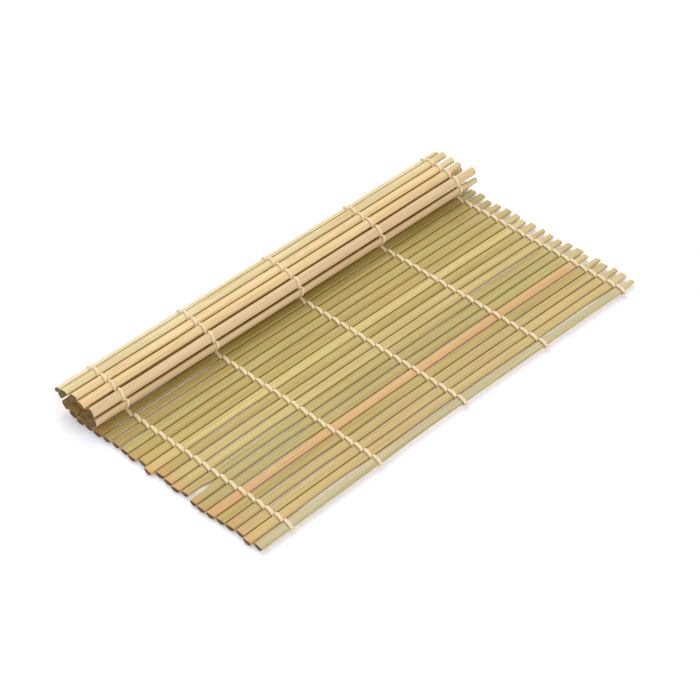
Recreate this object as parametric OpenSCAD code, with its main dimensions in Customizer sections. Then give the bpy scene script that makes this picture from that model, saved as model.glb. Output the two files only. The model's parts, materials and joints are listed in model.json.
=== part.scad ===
// Rolling mat of bamboo slats, laced side by side with five lines of cotton twine.
// The near part lies flat with its green faces up, and the far part is rolled up with them inside.
// X runs along the slats, Y from the front edge to the roll, and Z up from the table.

/* [Slats] */
// Length of a slat
slat_l = 240; // [180:1:300]
// Width of a slat across its green face
slat_w = 4.9; // [4.4:0.05:5.6]
// Thickness of a slat from its green face to its back
slat_t = 2.2; // [1.9:0.05:2.5]
// Gap between the edges of neighbouring slats
slat_gap = 0.69; // [0.6:0.01:0.9]
// Bevel along both edges of the green face
face_bevel = 0.3; // [0.2:0.05:0.4]
// Height of a slat's straight side below the bevel
side_h = 0.6; // [0.4:0.05:0.8]
// Width left flat along the middle of the rounded back
back_flat = 1.6; // [1:0.1:2.4]
// How far a slat's width may differ from the others, each way
width_play = 0.08; // [0:0.01:0.12]
// How far a slat's end may stand out or fall short
end_play = 1.1; // [0:0.1:2]
// Slats in front of the one that the roll stands on
flat_count = 20; // [12:1:30]
// How far the slats on top of the roll have crept to the left
roll_creep = 2.4; // [0:0.1:4]

/* [Lacing] */
// Lines of lacing across the mat
row_count = 5; // [3:1:5]
// Distance of the first line from the left ends
row_first = 18; // [12:0.5:30]
// Distance of the last line from the right ends
row_last = 9.6; // [6:0.1:30]
// Width of a strand where it is pressed flat against a slat
strand_w = 0.8; // [0.6:0.05:1]
// Thickness of a strand pressed flat
strand_t = 0.36; // [0.28:0.02:0.4]
// Space between a strand and the bamboo, and between the two strands
fit_gap = 0.06; // [0.04:0.01:0.1]
// Depth of the strands' crossing below the green face, where the mat bends
cross_depth = 0.3; // [0.25:0.01:0.4]
// Diameter of the knots at the front edge
knot_d = 2; // [1.6:0.1:2.6]
// Depth of the flat that a knot stands on
knot_flat = 0.2; // [0.1:0.05:0.4]

/* [Hidden] */
// Direction in which each rolled slat points, in degrees up from flat, from the base slat to the inner end
outer_turn = [8, 34, 82, 141, 177, 181, 187, 222, 284];
inner_turn = [362, 364, 367, 455, 544, 553];
// The directions above suit layers that lie this share of a pitch apart
layer_share = 0.543;

pitch = slat_w + slat_gap;
base_slat = flat_count + 1;
roll_count = len(outer_turn) + len(inner_turn);
slat_count = base_slat + roll_count;
row_names = [for (r = [1 : row_count]) str(r)];
row_step = (slat_l - row_first - row_last) / (row_count - 1);

// Thicker layers lift the top of the roll twice and its front once, which steepens one slat of each
layer = slat_t + 2 * strand_t + 2 * fit_gap;
extra_layer = layer - layer_share * pitch;
rise_slat = 1;
fall_slat = 6;
rise_more = 2 * extra_layer / (pitch * cos(outer_turn[rise_slat])) * 180 / PI;
fall_more = extra_layer / pitch * 180 / PI;
turns = concat(
    [for (i = [0 : len(outer_turn) - 1])
        outer_turn[i] + (i == rise_slat ? rise_more : 0) + (i == fall_slat ? fall_more : 0)],
    inner_turn);

function two_digits(k) = k < 10 ? str("0", k) : str(k);
function slat_name(k) = str("slat_", two_digits(k));
slat_names = [for (k = [1 : slat_count]) slat_name(k)];

// Hinge lines, numbered from the front edge, in the plane of the strands' crossings
table_to_hinge = slat_t - cross_depth + fit_gap + strand_t;
function direction(k) = k <= base_slat ? 0 : turns[k - base_slat - 1];
function step(k) = pitch * [cos(direction(k)), sin(direction(k))];
function walk(k, at) = k > slat_count ? [] : concat([at + step(k)], walk(k + 1, at + step(k)));
front_hinge = [0, table_to_hinge];
hinges = concat([front_hinge], walk(1, front_hinge));
function bend(h) = h == 0 || h == slat_count ? 0 : direction(h + 1) - direction(h);

// A point of slat k, given across its width from its middle and above its hinge lines
function along(a) = [cos(a), sin(a)];
function above(a) = [-sin(a), cos(a)];
function on_slat(k, p) =
    (hinges[k - 1] + hinges[k]) / 2 + p[0] * along(direction(k)) + p[1] * above(direction(k));

// A rounded back is a quarter ellipse each side, and the lacing goes round it on a larger one
arc_steps = [1, 2, 3];
back_rise = slat_t - face_bevel - side_h;
side_foot = cross_depth - face_bevel - side_h;
function back_arc(half_w, more) = [for (i = arc_steps)
    let (a = 90 * i / len(arc_steps))
    [back_flat / 2 + (half_w - back_flat / 2 + more) * cos(a), side_foot - (back_rise + more) * sin(a)]];
function reversed(points) = [for (i = [len(points) - 1 : -1 : 0]) points[i]];
function mirrored(points) = [for (p = reversed(points)) [-p[0], p[1]]];
function slat_section(half_w) =
    let (right = concat(
        [[half_w - face_bevel, cross_depth], [half_w, cross_depth - face_bevel], [half_w, side_foot]],
        back_arc(half_w, 0)))
    concat(right, mirrored(right));

// Small natural differences between the slats, the same each time
width_draw = rands(-1, 1, slat_count, 11);
left_draw = rands(-1, 1, slat_count, 23);
right_draw = rands(-1, 1, slat_count, 37);
creep_past_base = 3;
creep_slats = 7;
creep_from = base_slat + creep_past_base;
function creep(k) =
    roll_creep * max(0, k > creep_from ? sin(180 * min(1, (k - creep_from) / creep_slats)) : 0);
function half_width(k) = (slat_w + width_play * width_draw[k - 1]) / 2;
function left_end(k) = -slat_l / 2 + end_play * left_draw[k - 1] - creep(k);
function right_end(k) = slat_l / 2 + end_play * right_draw[k - 1] - creep(k);

// One strand's middle line over or under slat k, without the crossing that it starts from
strand_off = fit_gap + strand_t / 2;
over_in = 0.25;
function crossing_top(k, side) =
    let (h = side > 0 ? k : k - 1,
         half = bend(h) / 2,
         s = cross_depth * cos(half) + (slat_gap / 2 + face_bevel) * sin(half),
         tilt = direction(k) + side * half)
    hinges[h] + s * above(tilt);
function over_slat(k) = [
    crossing_top(k, -1),
    on_slat(k, [-slat_w / 2 + over_in, cross_depth + strand_off]),
    on_slat(k, [slat_w / 2 - over_in, cross_depth + strand_off]),
    crossing_top(k, 1)];
under_right = let (w = (slat_w + width_play) / 2)
    reversed(concat([[w + strand_off, side_foot]], back_arc(w, strand_off)));
function under_slat(k) = [for (p = concat(mirrored(under_right), under_right)) on_slat(k, p)];
function goes_over(k, strand) = (k + strand) % 2 == 0;
function strand_line(first, last, strand) = [
    hinges[first - 1],
    for (k = [first : last], p = concat(goes_over(k, strand) ? over_slat(k) : under_slat(k), [hinges[k]])) p];

// The strand's outline on both sides of its middle line, cut square to the crossing at its ends
function unit(v) = v / norm(v);
function turn_left(v) = [-v[1], v[0]];
function side_step(line, i) =
    let (a = unit(line[i] - line[i - 1]), b = unit(line[i + 1] - line[i]), n = unit(turn_left(a) + turn_left(b)))
    n / max(0.7, n * turn_left(a));
function end_step(first, last, at_start, rising) =
    let (tilt = at_start ? direction(first) - bend(first - 1) / 2 : direction(last) + bend(last) / 2)
    (rising ? -1 : 1) * along(tilt);
function strand_sides(first, last, strand) =
    let (line = strand_line(first, last, strand), n = len(line))
    [for (i = [0 : n - 1])
        i == 0 ? end_step(first, last, true, goes_over(first, strand))
        : i == n - 1 ? end_step(first, last, false, !goes_over(last, strand))
        : side_step(line, i)];
function strand_outline(first, last, strand) =
    let (line = strand_line(first, last, strand), sides = strand_sides(first, last, strand), n = len(line))
    concat(
        [for (i = [0 : n - 1]) line[i] + sides[i] * strand_t / 2],
        [for (i = [n - 1 : -1 : 0]) line[i] - sides[i] * strand_t / 2]);

// The origin is under the middle of the whole mat
knot_y = -strand_t / 2 - fit_gap - knot_d / 2;
back_y = max([for (s = [0, 1], p = strand_outline(base_slat + 1, slat_count, s)) p[0]]);
front_y = knot_y - knot_d / 2;
left_x = min([for (k = [1 : slat_count]) left_end(k)]);
right_x = max([for (k = [1 : slat_count]) right_end(k)]);
origin = [(left_x + right_x) / 2, (front_y + back_y) / 2, 0];
lane = strand_w + fit_gap;
function row_x(r) = -slat_l / 2 + row_first + (r - 1) * row_step;
echo(hinges = [for (h = hinges) [h[0] - origin[1], h[1]]]);
echo(directions = [for (k = [1 : slat_count]) direction(k)]);

// Stands a profile drawn in the Y and Z directions up along X
module across(from, to) {
    translate([from - origin[0], -origin[1], 0])
        rotate([90, 0, 90])
            linear_extrude(height = to - from) children();
}

module strand(row, first, last, s) {
    x = row_x(row) + (s == 0 ? -lane : lane) / 2;
    across(x - strand_w / 2, x + strand_w / 2) polygon(strand_outline(first, last, s));
}

function slat_colour(k) =
    k > base_slat ? "wheat" : k == 6 ? "peru" : k % 5 == 2 ? "tan" : k % 3 == 0 ? "darkkhaki" : "palegoldenrod";

module slat(k) {
    section = slat_section(half_width(k));
    color(slat_colour(k))
        across(left_end(k), right_end(k))
            polygon([for (p = section) on_slat(k, p)]);
}

module front_lacing(row) {
    color("beige") for (s = [0, 1]) strand(row, 1, base_slat - 1, s);
}

module base_lacing() {
    color("beige") for (row = [1 : row_count], s = [0, 1]) strand(row, base_slat, base_slat, s);
}

// Past the last slat the two strands are one twine, doubled back
module roll_lacing(row) {
    color("beige") union() {
        for (s = [0, 1]) strand(row, base_slat + 1, slat_count, s);
        across(row_x(row) - lane / 2 - strand_w / 2, row_x(row) + lane / 2 + strand_w / 2)
            translate(hinges[slat_count]) circle(d = slat_gap - 2 * fit_gap, $fn = 24);
    }
}

module edge_knots() {
    color("beige") for (row = [1 : row_count])
        translate([row_x(row) - origin[0], knot_y - origin[1], 0])
            difference() {
                translate([0, 0, knot_d / 2 - knot_flat]) sphere(d = knot_d, $fn = 32);
                translate([0, 0, -knot_d]) cube(2 * knot_d, center = true);
            }
}

for (k = [1 : slat_count]) slat(k);
for (r = [1 : row_count]) front_lacing(r);
for (r = [1 : row_count]) roll_lacing(r);
base_lacing();
edge_knots();
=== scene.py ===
"""Rolling mat of split bamboo slats, laced side by side with five lines of cotton twine.

The near part of the mat lies flat with the bamboo's olive skin up, and the far part is rolled up with it
inside. Each slat is one closed mesh that rides on its own body. The twine is a rope of three plies, cut
half way over each slat into short lengths, and each length bends across the hinge line in its gap.
Lengths are in millimetres until a mesh is made, and positions come from the frame's joints and boxes.
"""

import json
import logging
import math
from collections.abc import Sequence
from dataclasses import dataclass, field, replace
from enum import Enum

import bpy
import numpy as np
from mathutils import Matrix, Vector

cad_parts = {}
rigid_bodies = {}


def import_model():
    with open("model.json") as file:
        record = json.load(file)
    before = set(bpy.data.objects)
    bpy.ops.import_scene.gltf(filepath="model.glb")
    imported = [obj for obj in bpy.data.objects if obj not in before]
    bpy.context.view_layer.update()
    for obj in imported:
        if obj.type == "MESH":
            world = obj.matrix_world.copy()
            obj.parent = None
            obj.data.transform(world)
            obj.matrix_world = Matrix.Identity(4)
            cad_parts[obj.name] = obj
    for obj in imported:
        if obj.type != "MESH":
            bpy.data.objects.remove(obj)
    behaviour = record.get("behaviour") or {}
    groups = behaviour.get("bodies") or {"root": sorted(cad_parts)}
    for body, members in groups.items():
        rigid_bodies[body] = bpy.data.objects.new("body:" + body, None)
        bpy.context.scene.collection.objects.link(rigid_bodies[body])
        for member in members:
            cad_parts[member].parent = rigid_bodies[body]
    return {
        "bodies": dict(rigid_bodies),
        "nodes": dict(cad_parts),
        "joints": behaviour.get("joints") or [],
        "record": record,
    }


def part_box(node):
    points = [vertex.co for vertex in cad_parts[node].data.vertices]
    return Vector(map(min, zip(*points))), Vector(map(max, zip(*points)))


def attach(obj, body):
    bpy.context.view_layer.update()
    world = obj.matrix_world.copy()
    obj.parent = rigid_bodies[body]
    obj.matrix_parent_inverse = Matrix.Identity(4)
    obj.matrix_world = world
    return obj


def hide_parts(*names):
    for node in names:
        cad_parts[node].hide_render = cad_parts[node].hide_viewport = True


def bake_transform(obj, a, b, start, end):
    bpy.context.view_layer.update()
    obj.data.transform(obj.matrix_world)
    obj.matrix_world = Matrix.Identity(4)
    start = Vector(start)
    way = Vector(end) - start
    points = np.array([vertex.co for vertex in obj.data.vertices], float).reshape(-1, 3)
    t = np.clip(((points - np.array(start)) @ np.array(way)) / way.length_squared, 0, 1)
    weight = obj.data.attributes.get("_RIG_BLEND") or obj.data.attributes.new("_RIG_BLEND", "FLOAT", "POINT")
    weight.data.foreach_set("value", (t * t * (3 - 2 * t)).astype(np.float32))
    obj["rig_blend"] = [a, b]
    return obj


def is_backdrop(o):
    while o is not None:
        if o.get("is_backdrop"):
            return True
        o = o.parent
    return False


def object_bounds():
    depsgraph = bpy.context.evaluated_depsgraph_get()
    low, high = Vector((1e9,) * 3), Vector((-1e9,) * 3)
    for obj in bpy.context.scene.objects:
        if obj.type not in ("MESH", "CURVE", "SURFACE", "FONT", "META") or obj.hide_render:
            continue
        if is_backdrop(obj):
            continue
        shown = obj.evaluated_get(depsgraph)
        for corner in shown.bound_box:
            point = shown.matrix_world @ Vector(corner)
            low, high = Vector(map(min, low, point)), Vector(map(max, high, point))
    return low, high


LOG = logging.getLogger("rolling_mat")
MM = 0.001
Colour = tuple[float, float, float, float]
Size = tuple[float, float, float]
Span = tuple[float, float]
Tree = bpy.types.NodeTree
Socket = bpy.types.NodeSocket


def linear(colour: str) -> Colour:
    """Turns an sRGB hex colour into linear red, green and blue, with full opacity.

    Args:
        colour: six hex digits after a hash sign.

    Returns:
        Four numbers from 0 to 1.
    """
    parts = (int(colour[i : i + 2], 16) / 255 for i in (1, 3, 5))
    red, green, blue = (p / 12.92 if p <= 0.04045 else ((p + 0.055) / 1.055) ** 2.4 for p in parts)
    return red, green, blue, 1.0


def smooth(value: np.ndarray, low: float, high: float) -> np.ndarray:
    """Rises from 0 at low to 1 at high, level at both ends."""
    share = np.clip((value - low) / (high - low), 0, 1)
    return share * share * (3 - 2 * share)


def by_length(points: np.ndarray, count: int) -> np.ndarray:
    """Picks points evenly spaced along a polyline, its two ends included.

    Args:
        points: the polyline, one row for each point.
        count: how many points are wanted.

    Returns:
        The points, one row each.
    """
    steps = np.linalg.norm(np.diff(points, axis=0), axis=1)
    run = np.concatenate([[0], np.cumsum(steps)])
    wanted = np.linspace(0, run[-1], count)
    return np.stack([np.interp(wanted, run, column) for column in points.T], axis=1)


@dataclass(frozen=True)
class Waver:
    """A natural difference that comes and goes along a slat or a line of twine, within about its play."""

    play: float
    longest: float
    terms: int = 4

    def curve(self, draw: np.random.Generator, along: np.ndarray) -> np.ndarray:
        """Sums sines with random starts, each shorter and lower than the last.

        Args:
            draw: source of the sines' random heights and starts.
            along: distances at which the curve is wanted, in the unit of the longest sine.

        Returns:
            The difference at each distance.
        """
        total = np.zeros_like(along, dtype=float)
        for term in range(1, self.terms + 1):
            height = draw.uniform(0.6, 1.0) / term
            total += height * np.sin(2 * np.pi * (along * term / self.longest + draw.random()))
        # The sum stays within about 1.5
        return self.play * total / 1.5


def placed(name: str, data: bpy.types.ID) -> bpy.types.Object:
    """Makes an object at the origin and links it to the scene.

    Args:
        name: name of the new object.
        data: its mesh, light or camera.

    Returns:
        The new object.
    """
    made = bpy.data.objects.new(name, data)
    bpy.context.scene.collection.objects.link(made)
    return made


@dataclass
class Skin:
    """Vertices in mm, faces and point attributes of a mesh that is being put together."""

    vertices: list[np.ndarray] = field(default_factory=list)
    faces: list[list[int]] = field(default_factory=list)
    attributes: dict[str, list[np.ndarray]] = field(default_factory=dict)

    def tube(self, rings: np.ndarray, **attributes: np.ndarray) -> None:
        """Adds a closed skin round a stack of rings.

        Quads join neighbouring rings, and a fan to a middle point closes each end. The rings turn
        anticlockwise when the next ring comes towards the eye, so the faces point outwards.

        Args:
            rings: positions by ring, place around and X, Y, Z.
            attributes: values by ring and place around, and by component for a vector.
        """
        count, around = rings.shape[:2]
        first = sum(len(part) for part in self.vertices)
        ring = np.arange(around)
        after = (ring + 1) % around
        start = first + np.arange(count - 1)[:, None] * around
        over = start + around
        quads = np.stack([start + ring, start + after, over + after, over + ring], axis=2)
        last = first + (count - 1) * around
        poles = first + count * around
        fans = np.concatenate(
            [
                np.stack([np.full(around, poles), first + after, first + ring], axis=1),
                np.stack([np.full(around, poles + 1), last + ring, last + after], axis=1),
            ]
        )
        self.vertices += [rings.reshape(-1, 3), rings[[0, -1]].mean(axis=1)]
        self.faces += quads.reshape(-1, 4).tolist() + fans.tolist()
        for name, values in attributes.items():
            flat = values.reshape(count * around, -1)
            ends = values[[0, -1]].reshape(2, around, -1).mean(axis=1)
            self.attributes.setdefault(name, []).extend([flat, ends])

    def piece(self, name: str, material: bpy.types.Material) -> bpy.types.Object:
        """Makes the mesh in metres and its object, smooth shaded.

        Args:
            name: name of the new object.
            material: finish of all its faces.

        Returns:
            The new object.
        """
        mesh = bpy.data.meshes.new(name)
        mesh.from_pydata((np.concatenate(self.vertices) * MM).tolist(), [], self.faces)
        mesh.shade_smooth()
        for key, parts in self.attributes.items():
            values = np.concatenate(parts)
            vector = values.shape[1] == 3
            layer = mesh.attributes.new(key, "FLOAT_VECTOR" if vector else "FLOAT", "POINT")
            layer.data.foreach_set("vector" if vector else "value", values.astype(np.float32).ravel())
        mesh.materials.append(material)
        return placed(name, mesh)


def add(tree: Tree, kind: str, sockets: dict | None = None, **settings: object) -> bpy.types.Node:
    """Adds a node to a tree.

    Args:
        tree: the material's or world's nodes.
        kind: the node's type name.
        sockets: for each input, a value or the output that feeds it.
        settings: values of the node's own settings.

    Returns:
        The new node.
    """
    node = tree.nodes.new(kind)
    for name, value in settings.items():
        setattr(node, name, value)
    for key, value in (sockets or {}).items():
        if isinstance(value, Socket):
            tree.links.new(value, node.inputs[key])
        else:
            node.inputs[key].default_value = value
    return node


def new_material(name: str) -> tuple[bpy.types.Material, Tree]:
    """Makes an empty material.

    Args:
        name: the material's name.

    Returns:
        The material and its tree.
    """
    material = bpy.data.materials.new(name)
    material.use_nodes = True
    material.node_tree.nodes.clear()
    return material, material.node_tree


def marks(tree: Tree, place: Socket, size: Size, detail: float) -> Socket:
    """Natural marks of a real size: noise that is stretched along each axis.

    Args:
        tree: the nodes to add to.
        place: output with positions in mm.
        size: length of a mark along each axis of those positions, in mm.
        detail: how many times finer marks are added.

    Returns:
        The output with values about 0.5.
    """
    scale = tuple(1 / length for length in size)
    stretched = add(tree, "ShaderNodeVectorMath", {0: place, 1: scale}, operation="MULTIPLY")
    sockets = {"Vector": stretched.outputs[0], "Scale": 1.0, "Detail": detail, "Roughness": 0.6}
    return add(tree, "ShaderNodeTexNoise", sockets).outputs["Fac"]


def seen_directly(tree: Tree) -> Socket:
    """Tells rays that come from the camera, from gloss or through glass from the others.

    Args:
        tree: the nodes to add to.

    Returns:
        The output, 1 on such rays and 0 on the others.
    """
    path = add(tree, "ShaderNodeLightPath").outputs
    seen = path["Is Camera Ray"]
    for kind in ("Is Glossy Ray", "Is Transmission Ray"):
        seen = add(tree, "ShaderNodeMath", {0: seen, 1: path[kind]}, operation="MAXIMUM").outputs[0]
    return seen


@dataclass(frozen=True)
class Coat:
    """How a colour lies over another, from the pattern's value where it starts to where it shows most."""

    start: float
    full: float
    most: float = 1.0

    def over(self, tree: Tree, pattern: Socket, below: Colour | Socket, colour: Colour | Socket) -> Socket:
        """Lays a colour over what is below it.

        Args:
            tree: the nodes to add to.
            pattern: output with the pattern's values.
            below: the colour underneath.
            colour: the colour of the coat.

        Returns:
            The output with the mixed colour.
        """
        levels = {0: pattern, 1: self.start, 2: self.full, 3: 0.0, 4: self.most}
        share = add(tree, "ShaderNodeMapRange", levels, interpolation_type="SMOOTHSTEP").outputs[0]
        return add(tree, "ShaderNodeMix", {0: share, 6: below, 7: colour}, data_type="RGBA").outputs[2]


@dataclass(frozen=True)
class BambooFinish:
    """Split bamboo, with its outer skin left on the face: satin, streaked along its fibres.

    The skin dries from green to olive, straw or rust, and the split wood behind it is a paler straw.
    """

    name: str
    skin: str
    streak: str
    mottle: str
    back: str = "#EFD3A4"
    back_streak: str = "#D8B47E"
    # The sides' brown is partly their own colour and partly painted shade, darker so that the gaps between
    # slats look dark
    side: str = "#AC8E4A"
    end: str = "#6A4E22"
    end_pore: str = "#2A1B0A"
    fleck: str = "#6E5A2A"
    warm_tip: str = "#CF9558"
    pale_tip: str = "#D4C08A"
    blush: str = "#C6966A"
    skin_roughness: float = 0.42
    split_roughness: float = 0.62
    skin_edge: Span = (0.5, 0.9)

    # Lengths of the marks along the slat, across it and through it
    fibre_size: Size = (55.0, 0.32, 0.32)
    band_size: Size = (137.5, 1.28, 1.28)
    patch_size: Size = (21.0, 3.4, 3.4)
    blush_size: Size = (13.0, 2.2, 2.2)
    fleck_size: Size = (5.0, 0.2, 0.2)
    pore_spacing: float = 0.42
    fibre_relief: float = 0.08

    # How each colour lies over what is below it
    streak_coat: Coat = Coat(0.38, 0.66)
    mottle_coat: Coat = Coat(0.44, 0.62, most=0.85)
    patch_coat: Coat = Coat(0.56, 0.74, most=0.3)
    blush_coat: Coat = Coat(0.58, 0.72, most=0.3)
    fleck_coat: Coat = Coat(0.66, 0.74, most=0.5)
    back_streak_coat: Coat = Coat(0.42, 0.64)
    back_blush_coat: Coat = Coat(0.56, 0.72, most=0.3)
    side_streak_coat: Coat = Coat(0.4, 0.7, most=0.4)
    pore_coat: Coat = Coat(0.18, 0.42)
    side_and_gap_shade_coat: Coat = Coat(0.1, 0.5)
    skin_coat: Coat = Coat(0.6, 0.9)

    def skin_colour(self, tree: Tree, place: Socket, fibres: Socket, blushes: Socket) -> Socket:
        """The outer skin: streaks and bands along the fibres, pale patches, warm blushes and dark flecks.

        Args:
            tree: the nodes to add to.
            place: positions in the slat, in mm.
            fibres: pattern of the fibres.
            blushes: pattern of the blushes.

        Returns:
            The output with the colour.
        """
        bands = marks(tree, place, self.band_size, 2.0)
        patches = marks(tree, place, self.patch_size, 3.0)
        flecks = marks(tree, place, self.fleck_size, 2.0)
        skin = self.streak_coat.over(tree, fibres, linear(self.skin), linear(self.streak))
        skin = self.mottle_coat.over(tree, bands, skin, linear(self.mottle))
        skin = self.patch_coat.over(tree, patches, skin, linear(self.pale_tip))
        skin = self.blush_coat.over(tree, blushes, skin, linear(self.blush))
        return self.fleck_coat.over(tree, flecks, skin, linear(self.fleck))

    def end_colour(self, tree: Tree, place: Socket) -> Socket:
        """The sawn end: dark pores in brown wood, which depend only on the place in the cut.

        Args:
            tree: the nodes to add to.
            place: positions in the slat, in mm.

        Returns:
            The output with the colour.
        """
        flat = add(tree, "ShaderNodeVectorMath", {0: place, 1: (0.0, 1.0, 1.0)}, operation="MULTIPLY")
        spots = {"Vector": flat.outputs[0], "Scale": 1 / self.pore_spacing}
        pores = add(tree, "ShaderNodeTexVoronoi", spots).outputs["Distance"]
        return self.pore_coat.over(tree, pores, linear(self.end_pore), linear(self.end))

    def material(self) -> bpy.types.Material:
        """Builds the finish from the values that a slat's mesh holds: place, layer, cut, tips and light.

        Returns:
            The material.
        """
        material, tree = new_material(self.name)
        read = {
            key: add(tree, "ShaderNodeAttribute", attribute_name=key, attribute_type="GEOMETRY").outputs
            for key in ("fibre", "layer", "cut", "warm", "pale", "light")
        }
        place = read["fibre"]["Vector"]
        layer = read["layer"]["Fac"]
        fibres = marks(tree, place, self.fibre_size, 3.0)
        blushes = marks(tree, place, self.blush_size, 2.0)

        back = self.back_streak_coat.over(tree, fibres, linear(self.back), linear(self.back_streak))
        back = self.back_blush_coat.over(tree, blushes, back, linear(self.blush))
        # Partly painted shade: the darker sides make the gaps between slats look dark
        side = self.side_streak_coat.over(tree, fibres, linear(self.side), linear(self.back_streak))
        wood = self.side_and_gap_shade_coat.over(tree, layer, back, side)
        wood = self.skin_coat.over(tree, layer, wood, self.skin_colour(tree, place, fibres, blushes))
        sawn = self.end_colour(tree, place)
        ends = {"warm": linear(self.warm_tip), "pale": linear(self.pale_tip), "cut": sawn}
        for key, colour in ends.items():
            parts = {0: read[key]["Fac"], 6: wood, 7: colour}
            wood = add(tree, "ShaderNodeMix", parts, data_type="RGBA").outputs[2]
        lit = {0: 1.0, 6: wood, 7: read["light"]["Color"]}
        wood = add(tree, "ShaderNodeMix", lit, data_type="RGBA", blend_type="MULTIPLY").outputs[2]

        start, full = self.skin_edge
        rough = {0: layer, 1: start, 2: full, 3: self.split_roughness, 4: self.skin_roughness}
        ridges = {"Height": fibres, "Strength": 0.55, "Distance": self.fibre_relief * MM}
        sockets = {
            "Base Color": wood,
            "Roughness": add(tree, "ShaderNodeMapRange", rough).outputs[0],
            "Normal": add(tree, "ShaderNodeBump", ridges).outputs["Normal"],
            "IOR": 1.5,
            "Specular IOR Level": 0.3,
        }
        shader = add(tree, "ShaderNodeBsdfPrincipled", sockets)
        add(tree, "ShaderNodeOutputMaterial", {0: shader.outputs[0]})
        return material


class Tone(Enum):
    """Colours in which the skin of a slat has dried, and the split back that shows on the roll."""

    OLIVE = BambooFinish("bamboo_olive", "#BFAA68", "#A08744", "#B4AC62", back="#E6DCAA")
    PALE_OLIVE = BambooFinish("bamboo_pale_olive", "#C8BA8C", "#AA9A66", "#BEB88E", back="#EEE0B6")
    STRAW = BambooFinish("bamboo_straw", "#CEB876", "#B09654", "#CABC70", back="#EDD5A0")
    TAN = BambooFinish("bamboo_tan", "#CAB074", "#AA8E4E", "#C4AE6A", back="#E4C8A0")
    RUST = BambooFinish("bamboo_rust", "#D8AA70", "#BE864C", "#D0AE72")
    SAND = BambooFinish("bamboo_sand", "#C8B276", "#A88E54", "#C0AE6C", back="#DEC2A0")
    GOLD = BambooFinish("bamboo_gold", "#C0A760", "#9E833E", "#BAAC5A", back="#EACE98")


# Tones of the flat slats from the front edge, and those that the others take in turn
FLAT_TONES = (
    (Tone.PALE_OLIVE, Tone.TAN, Tone.TAN, Tone.TAN, Tone.GOLD)
    + (Tone.RUST, Tone.OLIVE, Tone.OLIVE, Tone.OLIVE, Tone.STRAW)
    + (Tone.STRAW, Tone.GOLD, Tone.STRAW, Tone.GOLD, Tone.GOLD)
    + (Tone.OLIVE, Tone.GOLD, Tone.OLIVE, Tone.GOLD, Tone.TAN)
)
ROLL_TONES = (Tone.SAND, Tone.PALE_OLIVE, Tone.OLIVE, Tone.STRAW, Tone.GOLD, Tone.TAN)


@dataclass(frozen=True)
class CottonFinish:
    """Undyed cotton twine of three plies: matt and slightly fuzzy, with painted shade in the grooves between
    them.
    """

    name: str = "cotton_twine"
    yarn: str = "#FBEAC6"
    shade: str = "#ECD2A8"
    # The next colour is painted shade, which darkens the grooves between the plies
    groove: str = "#A08058"
    roughness: float = 0.9
    # Cotton's fibres are only about 0.02 mm thick, and are drawn coarser here so that they show
    fibre_size: Size = (0.11, 0.11, 0.99)
    slub_size: Size = (1.0, 1.0, 4.0)
    fibre_relief: float = 0.06
    fibre_coat: Coat = Coat(0.35, 0.7)
    slub_coat: Coat = Coat(0.5, 0.75, most=0.4)
    groove_shade_coat: Coat = Coat(0.55, 1.0, most=0.3)

    def material(self) -> bpy.types.Material:
        """Builds the finish from the rope's own unwound positions in mm, and from how deep each point lies
        in the grooves, where it paints shade.

        Returns:
            The material.
        """
        material, tree = new_material(self.name)
        yarn, groove = (
            add(tree, "ShaderNodeAttribute", attribute_name=key, attribute_type="GEOMETRY").outputs
            for key in ("yarn", "groove")
        )
        fibres = marks(tree, yarn["Vector"], self.fibre_size, 3.0)
        slubs = marks(tree, yarn["Vector"], self.slub_size, 2.0)
        colour = self.fibre_coat.over(tree, fibres, linear(self.yarn), linear(self.shade))
        colour = self.slub_coat.over(tree, slubs, colour, linear(self.shade))
        # Painted shade in the grooves between the plies
        colour = self.groove_shade_coat.over(tree, groove["Fac"], colour, linear(self.groove))
        fuzz = {"Height": fibres, "Strength": 0.7, "Distance": self.fibre_relief * MM}
        sockets = {
            "Base Color": colour,
            "Roughness": self.roughness,
            "Normal": add(tree, "ShaderNodeBump", fuzz).outputs["Normal"],
            "Sheen Weight": 0.25,
            "Sheen Roughness": 0.5,
            "Specular IOR Level": 0.25,
        }
        shader = add(tree, "ShaderNodeBsdfPrincipled", sockets)
        add(tree, "ShaderNodeOutputMaterial", {0: shader.outputs[0]})
        return material


@dataclass(frozen=True)
class SlatPlace:
    """Where one slat lies: the hinge lines along its front and rear edges, as Y and Z in mm.

    The flat slats bow towards the roll, and the bow is how far their middle stands ahead of the points
    at the bow's reach on both sides.
    """

    number: int
    front: np.ndarray
    rear: np.ndarray
    bow: float = 0.0
    bow_reach: float = 110.0

    @property
    def name(self) -> str:
        """Name of the slat's node and body."""
        return f"slat_{self.number:02d}"

    @property
    def across(self) -> np.ndarray:
        """Unit vector from the front hinge line to the rear one."""
        step = self.rear - self.front
        return step / np.linalg.norm(step)

    def bowed(self, x: np.ndarray | float) -> np.ndarray | float:
        """How far the slat stands towards the roll at each distance along it: a parabola about 0."""
        return self.bow * (0.5 - (x / self.bow_reach) ** 2)

    def to_mat(self, x: np.ndarray, across: np.ndarray, height: np.ndarray) -> np.ndarray:
        """Takes points of the slat into the mat's frame.

        Args:
            x: distance along the slat, in mm.
            across: distance from the slat's middle towards its rear edge, in mm.
            height: distance above the plane of its hinge lines, in mm.

        Returns:
            X, Y and Z in the last axis.
        """
        middle = (self.front + self.rear) / 2
        across = across + self.bowed(x)
        side_y, side_z = self.across
        y = middle[0] + across * side_y - height * side_z
        z = middle[1] + across * side_z + height * side_y
        return np.stack(np.broadcast_arrays(x, y, z), axis=-1)


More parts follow.
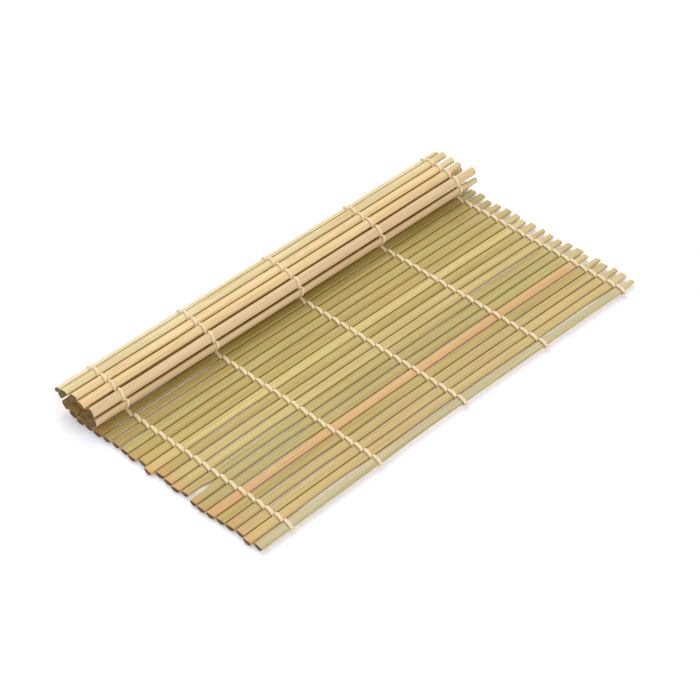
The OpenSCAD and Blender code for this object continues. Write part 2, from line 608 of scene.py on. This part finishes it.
@dataclass
class Layout:
    """Places of all slats and lines of lacing, from the frame's joints and boxes, and material slots.

    The bow fades over the flat slats nearest the base slat, on which the roll stands. The slats on top of
    the roll have crept to the left, from some slats behind the base slat on.
    """

    frame: dict
    bow: float = 0.9
    bow_fade: int = 8
    creep: float = 2.4
    creep_start: int = 3
    creep_slats: int = 7
    slots: dict[str, str] = field(init=False)
    pitch: float = field(init=False)
    base: int = field(init=False)
    hinges: dict[int, np.ndarray] = field(init=False)
    slats: list[SlatPlace] = field(init=False)
    rows: list[float] = field(init=False)

    def __post_init__(self) -> None:
        """Reads the hinge lines, whose joints are named after the two slats that they join."""
        subparts = self.frame["record"]["subparts"]
        self.slots = {part["node"]: part["material_slot"] for part in subparts}
        joints = self.frame["joints"]
        unrolls = [joint for joint in joints if joint["name"].startswith("unroll")]
        self.base = int(unrolls[0]["name"].split("_")[1])
        hinges = {int(joint["name"].split("_")[1]): np.array(joint["pos_m"][1:]) / MM for joint in joints}
        count = len(hinges) + 1
        self.pitch = float(np.linalg.norm(hinges[2] - hinges[1]))
        heading = math.radians(sum(joint["range_deg"][1] for joint in unrolls))
        hinges[0] = hinges[1] - np.array([self.pitch, 0.0])
        hinges[count] = hinges[count - 1] + self.pitch * np.array([math.cos(heading), math.sin(heading)])
        self.hinges = hinges
        self.slats = []
        for number in range(1, count + 1):
            bow = self.bow * min(1.0, max(0, self.base - number) / self.bow_fade)
            self.slats.append(SlatPlace(number, hinges[number - 1], hinges[number], bow))
        self.rows = []
        while f"front_lacing_{len(self.rows) + 1}" in self.frame["nodes"]:
            low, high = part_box(f"front_lacing_{len(self.rows) + 1}")
            self.rows.append((low.x + high.x) / 2 / MM)

    def creep_at(self, number: np.ndarray) -> np.ndarray:
        """How far the lacing has crept to the left with the slats on top of the roll, in mm."""
        share = np.clip((number - self.base - self.creep_start) / self.creep_slats, 0, 1)
        return self.creep * np.sin(np.pi * share)

    def ends(self, place: SlatPlace) -> Span:
        """X of the slat's two ends, in mm."""
        low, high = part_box(place.name)
        return low.x / MM, high.x / MM


@dataclass(frozen=True)
class Shaving:
    """A stretch where a slat's edge was shaved back, which widens the gap beside it."""

    slat: int
    rear: bool
    start: float
    stop: float
    depth: float
    run: float = 14.0

    def inset(self, x: np.ndarray) -> np.ndarray:
        """How far the edge stands back: in full from start to stop, and less over the run beside them."""
        begins = smooth(x, self.start - self.run, self.start)
        return self.depth * begins * (1 - smooth(x, self.stop, self.stop + self.run))


def parting(slat: int, start: float, stop: float, depth: float, run: float = 14.0) -> tuple[Shaving, ...]:
    """Widens the gap behind a slat: half of the depth comes off each of the two edges along it."""
    rear = Shaving(slat, True, start, stop, depth / 2, run)
    return rear, replace(rear, slat=slat + 1, rear=False)


@dataclass
class Slats:
    """All bamboo slats: split, planed to width and sawn to length, with small natural differences.

    Heights are above the plane of a slat's two hinge lines, which lies a little below its skin.
    """

    layout: Layout

    # Outline: half a superellipse above the waist and another below it
    face: float = 0.3
    back: float = 1.9
    half_width: float = 2.45
    waist: float = -0.45
    crown: float = 0.1
    face_power: float = 7.0
    back_power: float = 2.1
    curve_points: int = 1441
    around: int = 52

    # Outlines along a slat: their spacing, and their distances from a sawn end with their sizes there
    spacing: float = 2.2
    tips: tuple[float, ...] = (0.0, 0.0, 0.0, 0.14, 0.5, 1.2)
    tip_sizes: tuple[float, ...] = (0.3, 0.68, 0.93, 1.0, 1.0, 1.0)
    core: float = -0.8

    # Natural differences in shape, and the slats whose right ends stand out
    seed: int = 500
    edge: Waver = Waver(play=0.06, longest=80.0)
    sway: Waver = Waver(play=0.08, longest=260.0, terms=2)
    lift: Waver = Waver(play=0.04, longest=120.0, terms=3)
    twist: Waver = Waver(play=math.radians(1.6), longest=220.0, terms=2)
    lean_play: float = 0.45
    lean_run: float = 15.0
    slant_play: float = 0.25
    slant_reach: float = 1.5
    roll_inset: float = 0.05
    stand_out: tuple[tuple[int, float], ...] = ((29, 3.0), (30, 2.5))

    # Fingers: the slats narrow near their right ends
    finger_start: float = 10.5
    finger_full: float = 6.0
    finger_taper: Span = (0.15, 1.5)

    # Edges shaved back, by chance and at the open gaps
    dip_start: Span = (-100.0, 60.0)
    dip_length: Span = (5.0, 30.0)
    dip_depth: float = 0.2
    dip_run: float = 16.0
    partings: tuple[tuple[Shaving, ...], ...] = (
        parting(slat=1, start=-82.0, stop=-64.0, depth=0.85),
        parting(slat=1, start=-20.0, stop=40.0, depth=0.35),
        parting(slat=1, start=66.0, stop=94.0, depth=1.0),
        (Shaving(slat=1, rear=False, start=-10.0, stop=120.0, depth=0.45, run=40.0),),
        parting(slat=8, start=-140.0, stop=-112.0, depth=2.1, run=8.0),
        parting(slat=9, start=64.0, stop=88.0, depth=0.5),
        parting(slat=16, start=-140.0, stop=-112.0, depth=0.5),
        parting(slat=17, start=-140.0, stop=-60.0, depth=0.42),
        parting(slat=18, start=-104.0, stop=-60.0, depth=0.5),
        *(parting(slat=number, start=-92.0, stop=-66.0, depth=0.42) for number in range(3, 13)),
    )

    # What the finish reads: heights where the side and the skin begin, colours of both tips, and light
    side_rise: Span = (-1.0, -0.3)
    skin_rise: Span = (-0.05, 0.12)
    fibre_shift: float = 37.0
    warm: Span = (0.0, 0.75)
    warm_reach: Span = (2.0, 9.0)
    warm_rise: Span = (-1.9, 0.2)
    pale: Span = (0.2, 0.7)
    pale_start: float = 16.0
    pale_full: float = 6.0
    light: Span = (0.94, 1.05)
    light_waver: Waver = Waver(play=0.04, longest=150.0, terms=3)

    def section(self) -> tuple[np.ndarray, np.ndarray]:
        """Outline of a slat: half a superellipse above its waist, nearly square, and a round one below.

        Returns:
            Distance across in half widths and height in mm, evenly spaced round the outline.
        """
        turn = np.linspace(0, 2 * np.pi, self.curve_points)
        cosine, sine = np.cos(turn), np.sin(turn)
        power = np.where(sine >= 0, self.face_power, self.back_power)
        across = np.sign(cosine) * np.abs(cosine) ** (2 / power)
        share = np.abs(sine) ** (2 / power)
        above = (self.face - self.waist - self.crown * across**2) * share
        below = -(self.back + self.waist) * share
        height = self.waist + np.where(sine >= 0, above, below)
        even = by_length(np.stack([across * self.half_width, height], axis=1), self.around + 1)[:-1]
        return even[:, 0] / self.half_width, even[:, 1]

    def stations(self, left: float, right: float) -> tuple[np.ndarray, np.ndarray, np.ndarray]:
        """Places of the outlines along a slat. At each sawn end they shrink to a fan of flat rings.

        Args:
            left: X of the left end, in mm.
            right: X of the right end.

        Returns:
            X of each outline, its size from 0 to 1, and 1 where it lies on a sawn end.
        """
        tips, sizes = np.array(self.tips), np.array(self.tip_sizes)
        cuts = (tips == 0).astype(float)
        inner = np.linspace(left + self.spacing, right - self.spacing, int((right - left) / self.spacing))
        x = np.concatenate([left + tips, inner, (right - tips)[::-1]])
        size = np.concatenate([sizes, np.ones(len(inner)), sizes[::-1]])
        cut = np.concatenate([cuts, np.zeros(len(inner)), cuts[::-1]])
        return x, size, cut

    def inset(self, place: SlatPlace, rear: bool, x: np.ndarray, draw: np.random.Generator) -> np.ndarray:
        """How far an edge of a slat stands back from its full width: taper, wavering, dip and shavings.

        Args:
            place: the slat.
            rear: whether it is the rear edge.
            x: distances along the slat up to its right end, in mm.
            draw: source of its natural differences.

        Returns:
            The inset at each distance, in mm.
        """
        right = x[-1]
        taper = draw.uniform(*self.finger_taper)
        total = taper * smooth(x, right - self.finger_start, right - self.finger_full)
        if place.number > self.layout.base:
            total += self.roll_inset
        total += self.edge.curve(draw, x)
        start = draw.uniform(*self.dip_start)
        depth = self.dip_depth * draw.random()
        stop = start + draw.uniform(*self.dip_length)
        total += Shaving(place.number, rear, start, stop, depth, self.dip_run).inset(x)
        for pair in self.partings:
            for shaving in pair:
                if (shaving.slat, shaving.rear) == (place.number, rear):
                    total += shaving.inset(x)
        return total

    def finish_values(
        self, number: int, x: np.ndarray, across: np.ndarray, height: np.ndarray, draw: np.random.Generator
    ) -> dict[str, np.ndarray]:
        """What the finish reads at each point of a slat.

        Args:
            number: the slat's number, which shifts its fibres so that no two slats look the same.
            x: distance along the slat of each outline, in mm.
            across: distance across at each point of each outline.
            height: height at each point of each outline.
            draw: source of the slat's natural differences.

        Returns:
            Place in the fibres, layer from back to skin, shares of the warm and pale tips, and light.
        """
        left, right = x[0], x[-1]
        outline = np.broadcast_to(self.section()[1], across.shape)
        shift = self.fibre_shift * number
        warm = draw.uniform(*self.warm) * np.exp(-(x - left) / draw.uniform(*self.warm_reach))
        pale = draw.uniform(*self.pale) * smooth(x, right - self.pale_start, right - self.pale_full)
        light = draw.uniform(*self.light) + self.light_waver.curve(draw, x)
        wide = np.ones_like(outline)
        return {
            "fibre": np.stack(np.broadcast_arrays(x[:, None] + shift, across + shift, height), axis=-1),
            "layer": 0.5 * smooth(outline, *self.side_rise) + 0.5 * smooth(outline, *self.skin_rise),
            "warm": warm[:, None] * smooth(outline, *self.warm_rise),
            "pale": pale[:, None] * wide,
            "light": light[:, None] * wide,
        }

    def skin(self, place: SlatPlace, draw: np.random.Generator) -> Skin:
        """Builds one slat: its outline carried from end to end, narrowed towards the right end.

        Both edges waver a little, the slat sways, lifts and twists slightly, its right end leans, and each
        sawn end is a fan of shrunken outlines, a little out of square.

        Args:
            place: where the slat lies.
            draw: source of its natural differences.

        Returns:
            The slat's closed skin with what its finish reads.
        """
        left, right = self.layout.ends(place)
        right += dict(self.stand_out).get(place.number, 0.0)
        x, size, cut = self.stations(left, right)
        unit_across, outline = self.section()

        rear = self.half_width - self.inset(place, True, x, draw)
        front = -self.half_width + self.inset(place, False, x, draw)
        lean = draw.uniform(-self.lean_play, self.lean_play) * smooth(x, right - self.lean_run, right)
        middle = (rear + front) / 2 + self.sway.curve(draw, x) + lean
        lift = self.lift.curve(draw, x)
        twist = self.twist.curve(draw, x)[:, None]

        across = (rear - front)[:, None] / 2 * unit_across * size[:, None]
        height = self.core + (outline - self.core) * size[:, None]
        turned_across = across * np.cos(twist) - height * np.sin(twist)
        turned_height = across * np.sin(twist) + height * np.cos(twist)
        slant = draw.uniform(-self.slant_play, self.slant_play) * np.exp((left - x) / self.slant_reach)
        slant += draw.uniform(-self.slant_play, self.slant_play) * np.exp((x - right) / self.slant_reach)
        slanted = x[:, None] + slant[:, None] * unit_across
        rings = place.to_mat(slanted, turned_across + middle[:, None], turned_height + lift[:, None])

        made = Skin()
        values = self.finish_values(place.number, x, across, height, draw)
        made.tube(rings, cut=np.broadcast_to(cut[:, None], across.shape), **values)
        return made

    def build(self) -> None:
        """Makes every slat, which stands for its CAD node and rides on its own body."""
        finishes = {tone: tone.value.material() for tone in Tone}
        for place in self.layout.slats:
            draw = np.random.default_rng(self.seed + place.number)
            roll_tone = ROLL_TONES[place.number % len(ROLL_TONES)]
            tone = FLAT_TONES[place.number - 1] if place.number <= len(FLAT_TONES) else roll_tone
            piece = self.skin(place, draw).piece(f"bamboo_{place.name}", finishes[tone])
            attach(piece, place.name)
            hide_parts(place.name)
            LOG.info("%s: %s", piece.name, tone.name.lower())


@dataclass(frozen=True)
class Lie:
    """How a strand lies at a slat's middle: its height above the hinge lines' plane, and its section."""

    height: float
    half_width: float
    half_thickness: float


@dataclass
class Lacing:
    """Five lines of twine. Two strands of each pass over and under the slats in turn, and swap sides."""

    layout: Layout

    # How the strands lie, also on the slats where the roll and the flat part come close
    over_flat: Lie = Lie(height=0.84, half_width=0.88, half_thickness=0.5)
    under_flat: Lie = Lie(height=-2.1, half_width=0.88, half_thickness=0.2)
    over_roll: Lie = Lie(height=0.66, half_width=0.72, half_thickness=0.4)
    under_roll: Lie = Lie(height=-2.3, half_width=0.72, half_thickness=0.4)
    over_close: Lie = Lie(height=0.5, half_width=0.88, half_thickness=0.22)
    under_close: Lie = Lie(height=-2.14, half_width=0.72, half_thickness=0.22)
    in_gap: Lie = Lie(height=0.0, half_width=0.62, half_thickness=0.36)
    close_flat: int = 3
    close_rolled: tuple[int, ...] = (29, 30, 31, 32)
    over_power: float = 2.6
    under_power: float = 2.4
    side_step: float = 0.72

    # The rope, whose sway and slubs are measured in slats along it
    seed: int = 40
    sway: Waver = Waver(play=0.15, longest=7.0)
    slub: Waver = Waver(play=0.07, longest=2.3, terms=3)
    ply_pitch: float = 4.4
    ply_depth: float = 0.1
    yarn_radius: float = 0.4
    steps: int = 40
    quarter_points: int = 120
    around: int = 18
    smoothings: int = 6
    blend_reach: float = 0.345

    # The knots at the front edge, and the steps that run straight out of them
    lead_over: int = 4
    lead_under: int = 8
    knot_seed: int = 90
    knot_radius: float = 0.8
    knot_thickness: float = 0.34
    knot_depth: float = 0.45
    knot_steps: int = 96
    knot_back: float = -0.25
    knot_drop: float = 0.35

    def lie(self, place: SlatPlace, over: bool) -> Lie:
        """How a strand lies on a slat. It is pressed thin where the roll and the flat part come close.

        Args:
            place: the slat.
            over: whether the strand passes over the green face.

        Returns:
            Its height and section at the middle of the slat.
        """
        behind = place.number - self.layout.base
        if behind > 0 and over:
            return self.over_roll
        if behind > 0:
            return self.under_close if place.number in self.close_rolled else self.under_roll
        if over:
            return self.over_close if behind > -self.close_flat else self.over_flat
        return self.under_flat

    def stroke(self, place: SlatPlace, over: bool, row: int) -> tuple[np.ndarray, np.ndarray]:
        """One strand's middle line over or under one slat, from its front hinge line to its rear one.

        The line is half a superellipse, and moves sideways as the cosine of its turn.

        Args:
            place: the slat.
            over: whether the strand passes over the green face.
            row: number of the line of lacing, from 0.

        Returns:
            Points of the middle line, and half width and half thickness at each.
        """
        lie, gap = self.lie(place, over), self.in_gap
        power = self.over_power if over else self.under_power
        halves = []
        for begin in (0.0, np.pi / 2):
            turn = np.linspace(begin, begin + np.pi / 2, self.quarter_points)
            # Rounded, so that the middle of the turn gives exactly 0
            cosine = np.round(np.cos(turn), 12)
            across = -self.layout.pitch / 2 * np.sign(cosine) * np.abs(cosine) ** (2 / power)
            rise = lie.height * np.clip(np.sin(turn), 0, 1) ** (2 / power)
            aside = (-1 if over else 1) * self.side_step * cosine
            line = np.stack([aside, across, rise, turn], axis=1)
            halves.append(by_length(line, self.steps // 2 + 1)[:-1])
        aside, across, rise, turn = np.concatenate(halves).T
        lying = np.sin(turn)
        width = gap.half_width + (lie.half_width - gap.half_width) * lying
        thickness = gap.half_thickness + (lie.half_thickness - gap.half_thickness) * lying
        radii = np.stack([width, thickness], axis=1)
        return place.to_mat(aside + self.layout.rows[row], across, rise), radii

    def passes_over(self, number: int, which: int) -> bool:
        """Whether a strand passes over the slat with that number."""
        return (number + which) % 2 == 0

    def knot_middles(self) -> list[np.ndarray]:
        """X, Y and Z in mm of the knots' middles, which are pulled against the front slat's edge."""
        y, z = self.layout.hinges[0] + np.array([self.knot_back, -self.knot_drop])
        return [np.array([x, y + self.layout.slats[0].bowed(x), z]) for x in self.layout.rows]

    def strand(self, row: int, which: int, knot: np.ndarray) -> tuple[np.ndarray, dict[str, np.ndarray]]:
        """One strand from the front knot to the inner end of the roll: its strokes, joined and smoothed.

        Args:
            row: number of the line of lacing, from 0.
            which: 0 or 1, for the strand.
            knot: middle of the row's knot.

        Returns:
            Rings by place along, place around and X, Y, Z, and the values that the finish reads.
        """
        slats = self.layout.slats
        strokes = [self.stroke(place, self.passes_over(place.number, which), row) for place in slats]
        end = np.array([self.layout.rows[row], *self.layout.hinges[len(slats)]])
        line = np.concatenate([points for points, _ in strokes] + [end[None]])
        radii = np.concatenate([sizes for _, sizes in strokes] + [strokes[-1][1][-1:]])
        lead = self.lead_over if self.passes_over(slats[0].number, which) else self.lead_under
        share = np.linspace(0, 1, lead, endpoint=False)[:, None]
        line[:lead] = knot + (line[lead] - knot) * share
        for _ in range(self.smoothings):
            line[1:-1] = (line[:-2] + 2 * line[1:-1] + line[2:]) / 4
            radii[1:-1] = (radii[:-2] + 2 * radii[1:-1] + radii[2:]) / 4
        draw = np.random.default_rng(self.seed + row)
        along = np.arange(len(line)) / self.steps
        line[:, 0] += self.sway.curve(draw, along) - self.layout.creep_at(along + 0.5)
        radii *= (1 + self.slub.curve(draw, along))[:, None]
        return self.rope(line, radii)

    def rope(self, line: np.ndarray, radii: np.ndarray) -> tuple[np.ndarray, dict[str, np.ndarray]]:
        """Carries the twine's outline along a line.

        The outline is an ellipse with three lobes, which turn once in each ply pitch.

        Args:
            line: points of the middle line, in mm.
            radii: half width, along X, and half thickness at each point.

        Returns:
            The rings, and the values that the finish reads.
        """
        tangent = np.gradient(line, axis=0)
        tangent /= np.linalg.norm(tangent, axis=1)[:, None]
        side = np.array([1.0, 0, 0]) - tangent[:, :1] * tangent
        side /= np.linalg.norm(side, axis=1)[:, None]
        normal = np.cross(tangent, side)
        run = np.concatenate([[0], np.cumsum(np.linalg.norm(np.diff(line, axis=0), axis=1))])
        turn = np.linspace(0, 2 * np.pi, self.around, endpoint=False)
        lay = turn - (2 * np.pi * run / self.ply_pitch)[:, None]
        lobes = np.cos(3 * lay)
        swell = 1 + self.ply_depth * lobes
        rings = (
            line[:, None]
            + (radii[:, :1] * swell * np.cos(turn))[:, :, None] * side[:, None]
            + (radii[:, 1:] * swell * np.sin(turn))[:, :, None] * normal[:, None]
        )
        along = np.broadcast_to(run[:, None], lay.shape)
        yarn = np.stack([self.yarn_radius * np.cos(lay), self.yarn_radius * np.sin(lay), along], axis=-1)
        # The second values tell how deep each point lies in a groove between the plies, where the finish
        # paints shade
        return rings, {"yarn": yarn, "groove": (1 - lobes) / 2}

    def hold(self, piece: bpy.types.Object, gap: int) -> None:
        """Lets a length of twine bend across its gap, and the first and last ride on their only slat.

        Args:
            piece: the length of all lines in one gap.
            gap: number of the gap's hinge line, from 0 at the front edge.
        """
        slats = self.layout.slats
        if gap in (0, len(slats)):
            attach(piece, slats[max(0, gap - 1)].name)
            return
        before, after = slats[gap - 1], slats[gap]
        way = before.across + after.across
        way = self.blend_reach * MM * way / np.linalg.norm(way)
        middle = self.layout.hinges[gap] * MM
        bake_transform(piece, before.name, after.name, start=(0, *(middle - way)), end=(0, *(middle + way)))

    def stands_for(self, gap: int) -> list[str]:
        """Lists the CAD nodes that the length of twine in a gap replaces.

        Args:
            gap: number of the gap's hinge line, from 0 at the front edge.

        Returns:
            The nodes' names.
        """
        base = self.layout.base
        part = "front" if gap < base else "roll"
        nodes = [f"{part}_lacing_{row + 1}" for row in range(len(self.layout.rows))]
        return nodes + ["base_lacing"] if gap in (base - 1, base) else nodes

    def build(self) -> None:
        """Cuts the strands half way over each slat, and makes a piece that bends across each hinge line."""
        finish = CottonFinish().material()
        knots = self.knot_middles()
        strands = [self.strand(row, which, knot) for row, knot in enumerate(knots) for which in (0, 1)]
        count = len(self.layout.slats)
        half = self.steps // 2
        for gap in range(count + 1):
            first = max(0, gap * self.steps - half)
            past = min(count * self.steps, gap * self.steps + half) + 1
            made = Skin()
            for rings, values in strands:
                made.tube(rings[first:past], **{key: part[first:past] for key, part in values.items()})
            piece = made.piece(f"twine_{gap:02d}", finish)
            self.hold(piece, gap)
            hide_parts(*self.stands_for(gap))
            LOG.info("%s: %d strands", piece.name, len(strands))
        self.build_knots(finish, knots)

    def build_knots(self, finish: bpy.types.Material, knots: list[np.ndarray]) -> None:
        """Ties off each line with a knot, a trefoil curve pulled tight.

        Args:
            finish: the twine's material.
            knots: middles of the knots, in mm.
        """
        reach = self.knot_radius - self.knot_thickness
        made = Skin()
        for number, middle in enumerate(knots):
            draw = np.random.default_rng(self.knot_seed + number)
            turn = np.linspace(0, 2 * np.pi, self.knot_steps + 1) + draw.uniform(0, 6)
            loop = np.stack(
                [
                    reach / 3 * (np.sin(turn) + 2 * np.sin(2 * turn)),
                    reach / 3 * (np.cos(turn) - 2 * np.cos(2 * turn)),
                    -self.knot_depth * reach * np.sin(3 * turn),
                ],
                axis=1,
            )
            rings, values = self.rope(loop + middle, np.full((len(turn), 2), self.knot_thickness))
            made.tube(rings, **values)
        piece = made.piece("twine_knots", finish)
        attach(piece, self.layout.slats[0].name)
        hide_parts("edge_knots")
        LOG.info("%s: %d knots", piece.name, len(knots))


def towards(azimuth: float, elevation: float) -> np.ndarray:
    """Unit vector towards a lamp or camera.

    Args:
        azimuth: degrees round the mat, from 0 in front of it and 90 on its right.
        elevation: degrees above the table.

    Returns:
        Its X, Y and Z.
    """
    turn, rise = math.radians(azimuth), math.radians(elevation)
    level = math.cos(rise)
    return np.array([math.sin(turn) * level, -math.cos(turn) * level, math.sin(rise)])


@dataclass(frozen=True)
class Lamp:
    """A far soft lamp, whose light comes from a disc of the sky. Its angles are in degrees."""

    name: str
    azimuth: float
    elevation: float
    strength: float
    spread: float
    colour: str

    def build(self) -> None:
        """Makes the lamp and turns it towards the mat."""
        data = bpy.data.lights.new(self.name, "SUN")
        data.color = linear(self.colour)[:3]
        data.energy = self.strength
        data.angle = math.radians(self.spread)
        lamp = placed(self.name, data)
        lamp.location = towards(self.azimuth, self.elevation)
        lamp.rotation_euler = (math.radians(90 - self.elevation), 0, math.radians(self.azimuth))


@dataclass(frozen=True)
class Studio:
    """White table, a soft lamp behind the mat, one in front, and a long lens over its front left corner.

    The mat's box is in metres. The table's lifts are painted light of its own, seen only directly.
    """

    mat_box: Sequence[Sequence[float]]
    table_size: float = 2400.0
    table_drop: float = 0.03
    table: str = "#FCFCFE"
    table_tint: str = "#F0F3FF"
    table_lift: float = 0.17
    front_lift: float = 0.02
    # Painted light: under the mat the table glows most, so that it shows bright through the gaps between
    # slats
    gap_painted_light: float = 0.42
    gap_edge: Span = (0.9, 0.96)
    front_edge: Span = (-1.0, -0.9)
    lamps: tuple[Lamp, ...] = (
        Lamp("key", azimuth=155.0, elevation=49.0, strength=1.66, spread=56.0, colour="#FFFAF0"),
        Lamp("fill", azimuth=12.0, elevation=26.0, strength=1.1, spread=50.0, colour="#FFFFFF"),
    )
    sky: str = "#F4F8FF"
    sky_strength: float = 0.6
    backdrop: str = "#FFFFFF"
    camera_azimuth: float = -43.706
    camera_elevation: float = 40.389
    camera_roll: float = -1.972
    camera_distance: float = 1068.95
    camera_target: Size = (-5.156, -1.8, 2.62)
    focal_pixels: float = 2377.55
    photo_pixels: float = 700.0
    sensor: float = 36.0

    def lift(self, tree: Tree) -> Socket:
        """How much the table is lifted at each place by painted light: most under the mat, where the shaded
        table seen through the gaps shows bright, and least in front of it.

        Places are measured from the mat's middle, in halves of its box.

        Args:
            tree: the nodes to add to.

        Returns:
            The output with the lift.
        """
        low, high = (np.array(corner) for corner in self.mat_box)
        away = {0: add(tree, "ShaderNodeNewGeometry").outputs["Position"], 1: tuple((low + high) / 2)}
        away = add(tree, "ShaderNodeVectorMath", away, operation="SUBTRACT").outputs[0]
        share = {0: away, 1: tuple((high - low) / 2)}
        share = add(tree, "ShaderNodeVectorMath", share, operation="DIVIDE").outputs[0]
        along = add(tree, "ShaderNodeSeparateXYZ", {0: share}).outputs["Y"]
        size = add(tree, "ShaderNodeVectorMath", {0: share}, operation="ABSOLUTE").outputs[0]
        sides = add(tree, "ShaderNodeSeparateXYZ", {0: size}).outputs
        reach = {0: sides["X"], 1: sides["Y"]}
        reach = add(tree, "ShaderNodeMath", reach, operation="MAXIMUM").outputs[0]
        start, full = self.front_edge
        beside = {0: along, 1: start, 2: full, 3: self.front_lift, 4: self.table_lift}
        beside = add(tree, "ShaderNodeMapRange", beside).outputs[0]
        start, full = self.gap_edge
        levels = {0: reach, 1: start, 2: full, 3: self.gap_painted_light, 4: beside}
        return add(tree, "ShaderNodeMapRange", levels).outputs[0]

    def build_table(self) -> None:
        """A flat white sheet, lifted towards white where it is seen directly."""
        half = self.table_size / 2 * MM
        drop = -self.table_drop * MM
        mesh = bpy.data.meshes.new("table")
        corners = [(-half, -half, drop), (half, -half, drop), (half, half, drop), (-half, half, drop)]
        mesh.from_pydata(corners, [], [(0, 1, 2, 3)])
        placed("table", mesh)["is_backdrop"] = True
        material, tree = new_material("white_sheet")
        paper = add(tree, "ShaderNodeBsdfDiffuse", {"Color": linear(self.table), "Roughness": 0.5})
        # The glow is painted light, seen only directly, and strongest under the mat
        lift = {0: seen_directly(tree), 1: self.lift(tree)}
        lift = add(tree, "ShaderNodeMath", lift, operation="MULTIPLY").outputs[0]
        glow = add(tree, "ShaderNodeEmission", {"Color": linear(self.table_tint), "Strength": lift})
        both = add(tree, "ShaderNodeAddShader", {0: paper.outputs[0], 1: glow.outputs[0]})
        add(tree, "ShaderNodeOutputMaterial", {0: both.outputs[0]})
        mesh.materials.append(material)

    def build_world(self) -> None:
        """Even pale surroundings, which are white where they are seen directly."""
        world = bpy.data.worlds.new("studio")
        world.use_nodes = True
        tree = world.node_tree
        tree.nodes.clear()
        seen = seen_directly(tree)
        strength = add(tree, "ShaderNodeMapRange", {0: seen, 3: self.sky_strength, 4: 1.0}).outputs[0]
        colours = {0: seen, 6: linear(self.sky), 7: linear(self.backdrop)}
        colour = add(tree, "ShaderNodeMix", colours, data_type="RGBA").outputs[2]
        sky = add(tree, "ShaderNodeBackground", {"Color": colour, "Strength": strength})
        add(tree, "ShaderNodeOutputWorld", {0: sky.outputs[0]})
        bpy.context.scene.world = world

    def build_camera(self) -> None:
        """The camera, aimed at a point on the mat and rolled a little, with the photograph's framing."""
        back = towards(self.camera_azimuth, self.camera_elevation)
        side = np.cross([0, 0, 1], back)
        side /= np.linalg.norm(side)
        top = np.cross(back, side)
        roll = math.radians(self.camera_roll)
        matrix = np.eye(4)
        matrix[:3, 0] = math.cos(roll) * side + math.sin(roll) * top
        matrix[:3, 1] = -math.sin(roll) * side + math.cos(roll) * top
        matrix[:3, 2] = back
        matrix[:3, 3] = (np.array(self.camera_target) + back * self.camera_distance) * MM
        data = bpy.data.cameras.new("camera")
        data.sensor_width = self.sensor
        data.lens = self.focal_pixels / self.photo_pixels * self.sensor
        data.clip_start = 0.01
        data.clip_end = 50.0
        camera = placed("camera", data)
        camera.matrix_world = matrix.T.tolist()
        bpy.context.scene.camera = camera

    def build(self) -> None:
        """Sets the table, the surroundings, the lamps, the camera and a plain rendering of colours."""
        self.build_table()
        self.build_world()
        for lamp in self.lamps:
            lamp.build()
        self.build_camera()
        bpy.context.scene.view_settings.view_transform = "Standard"
        LOG.info("studio: table, surroundings, lamps and camera")


def main() -> None:
    """Builds the studio, the slats and the lacing round the frame."""
    logging.basicConfig(level=logging.INFO, format="%(message)s")
    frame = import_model()
    cad_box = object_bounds()
    layout = Layout(frame)
    Studio(cad_box).build()
    Slats(layout).build()
    Lacing(layout).build()


if __name__ == "__main__":
    main()
